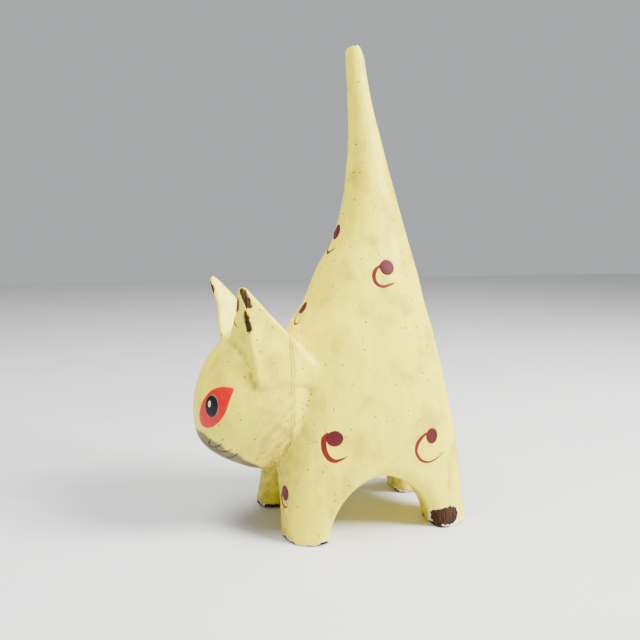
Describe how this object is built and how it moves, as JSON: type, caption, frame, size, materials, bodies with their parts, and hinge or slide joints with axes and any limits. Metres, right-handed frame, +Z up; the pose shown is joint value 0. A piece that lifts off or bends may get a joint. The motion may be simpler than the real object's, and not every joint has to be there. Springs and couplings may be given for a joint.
{
  "type": "carved cat figurine",
  "caption": "Carved and painted wooden cat with a low turned head, stubby legs and a thick tail that tapers straight up.",
  "frame": {"origin": "on the floor, at the middle of the rectangle that the cat covers", "axes": "+Z up to the tail tip; the cat faces -Y; +X is the cat's left side"},
  "size_m": [0.0884, 0.1678, 0.29],
  "materials": {
    "painted_wood": "cream-yellow satin paint over white gesso",
    "bare_wood": "bare turned wood",
    "wood_putty": "sanded putty under the same cream-yellow paint"
  },
  "bodies": {
    "root": {"body": "painted_wood", "head": "painted_wood", "neck_dowel": "bare_wood", "neck_filler": "wood_putty"}
  },
  "joints": []
}
